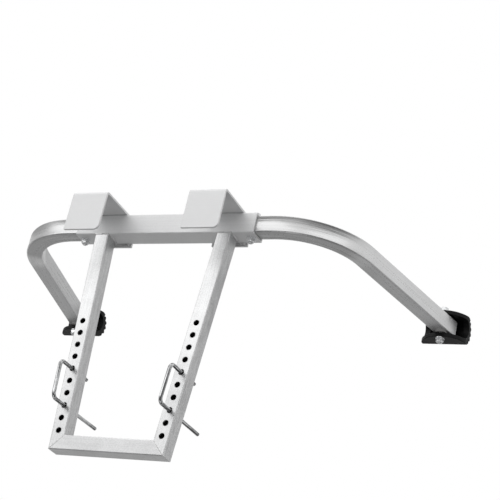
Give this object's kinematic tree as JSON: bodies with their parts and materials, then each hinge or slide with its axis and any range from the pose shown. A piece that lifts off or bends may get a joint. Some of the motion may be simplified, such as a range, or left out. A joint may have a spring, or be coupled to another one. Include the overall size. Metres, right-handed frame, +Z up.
{
  "type": "ladder stabilizer",
  "caption": "Aluminium ladder stand-off with bent arms, swivelling rubber feet, rung hooks and a leg frame locked to the next rung by bent wire pins.",
  "frame": {"origin": "middle of the rung seat: midway between the hooks, on the underside of their top plates, above the rung's centre line", "axes": "+X along the rung to the right as seen from the climber's side, +Y towards the wall, +Z up along the leg frame"},
  "size_m": [0.8454, 0.4927, 0.4439],
  "materials": {
    "sleeve_aluminium": "mill finish with fine extrusion lines",
    "arm_aluminium": "satin mill finish",
    "leg_aluminium": "satin mill finish",
    "hook_plate": "matte bent plate",
    "zinc_steel": "bright zinc plate",
    "pin_wire": "bright zinc-plated wire",
    "yoke_nylon": "moulded black, semi-matte",
    "tread_rubber": "matte black rubber",
    "bush_nylon": "natural nylon"
  },
  "bodies": {
    "frame": {"centre_sleeve": "sleeve_aluminium", "bottom_rail": "leg_aluminium", "left_leg": "leg_aluminium", "right_leg": "leg_aluminium", "left_arm": "arm_aluminium", "right_arm": "arm_aluminium", "left_hook": "hook_plate", "right_hook": "hook_plate", "arm_bolts": "zinc_steel", "arm_washers": "zinc_steel", "arm_nuts": "zinc_steel", "left_pivot_bushes": "bush_nylon", "right_pivot_bushes": "bush_nylon"},
    "left_foot": {"left_foot_yoke": "yoke_nylon", "left_foot_pad": "tread_rubber", "left_pivot_bolt": "zinc_steel", "left_pivot_washers": "zinc_steel", "left_pivot_nut": "zinc_steel"},
    "left_pin": {"left_lock_pin": "pin_wire"},
    "right_foot": {"right_foot_yoke": "yoke_nylon", "right_foot_pad": "tread_rubber", "right_pivot_bolt": "zinc_steel", "right_pivot_washers": "zinc_steel", "right_pivot_nut": "zinc_steel"},
    "right_pin": {"right_lock_pin": "pin_wire"}
  },
  "joints": [
    {"name": "left_foot_swivel", "type": "hinge", "parent": "frame", "child": "left_foot", "pos_m": [-0.38172, 0.42913, -0.019], "axis": [0, 0, 1], "range_deg": [-80, 80]},
    {"name": "left_pin_pull", "type": "slide", "parent": "frame", "child": "left_pin", "axis": [0, -0.9998, -0.0209], "range_m": [0, 0.115]},
    {"name": "right_foot_swivel", "type": "hinge", "parent": "frame", "child": "right_foot", "pos_m": [0.38172, 0.42913, -0.019], "axis": [0, 0, 1], "range_deg": [-80, 80]},
    {"name": "right_pin_pull", "type": "slide", "parent": "frame", "child": "right_pin", "axis": [0, -0.9998, -0.0209], "range_m": [0, 0.115]}
  ]
}
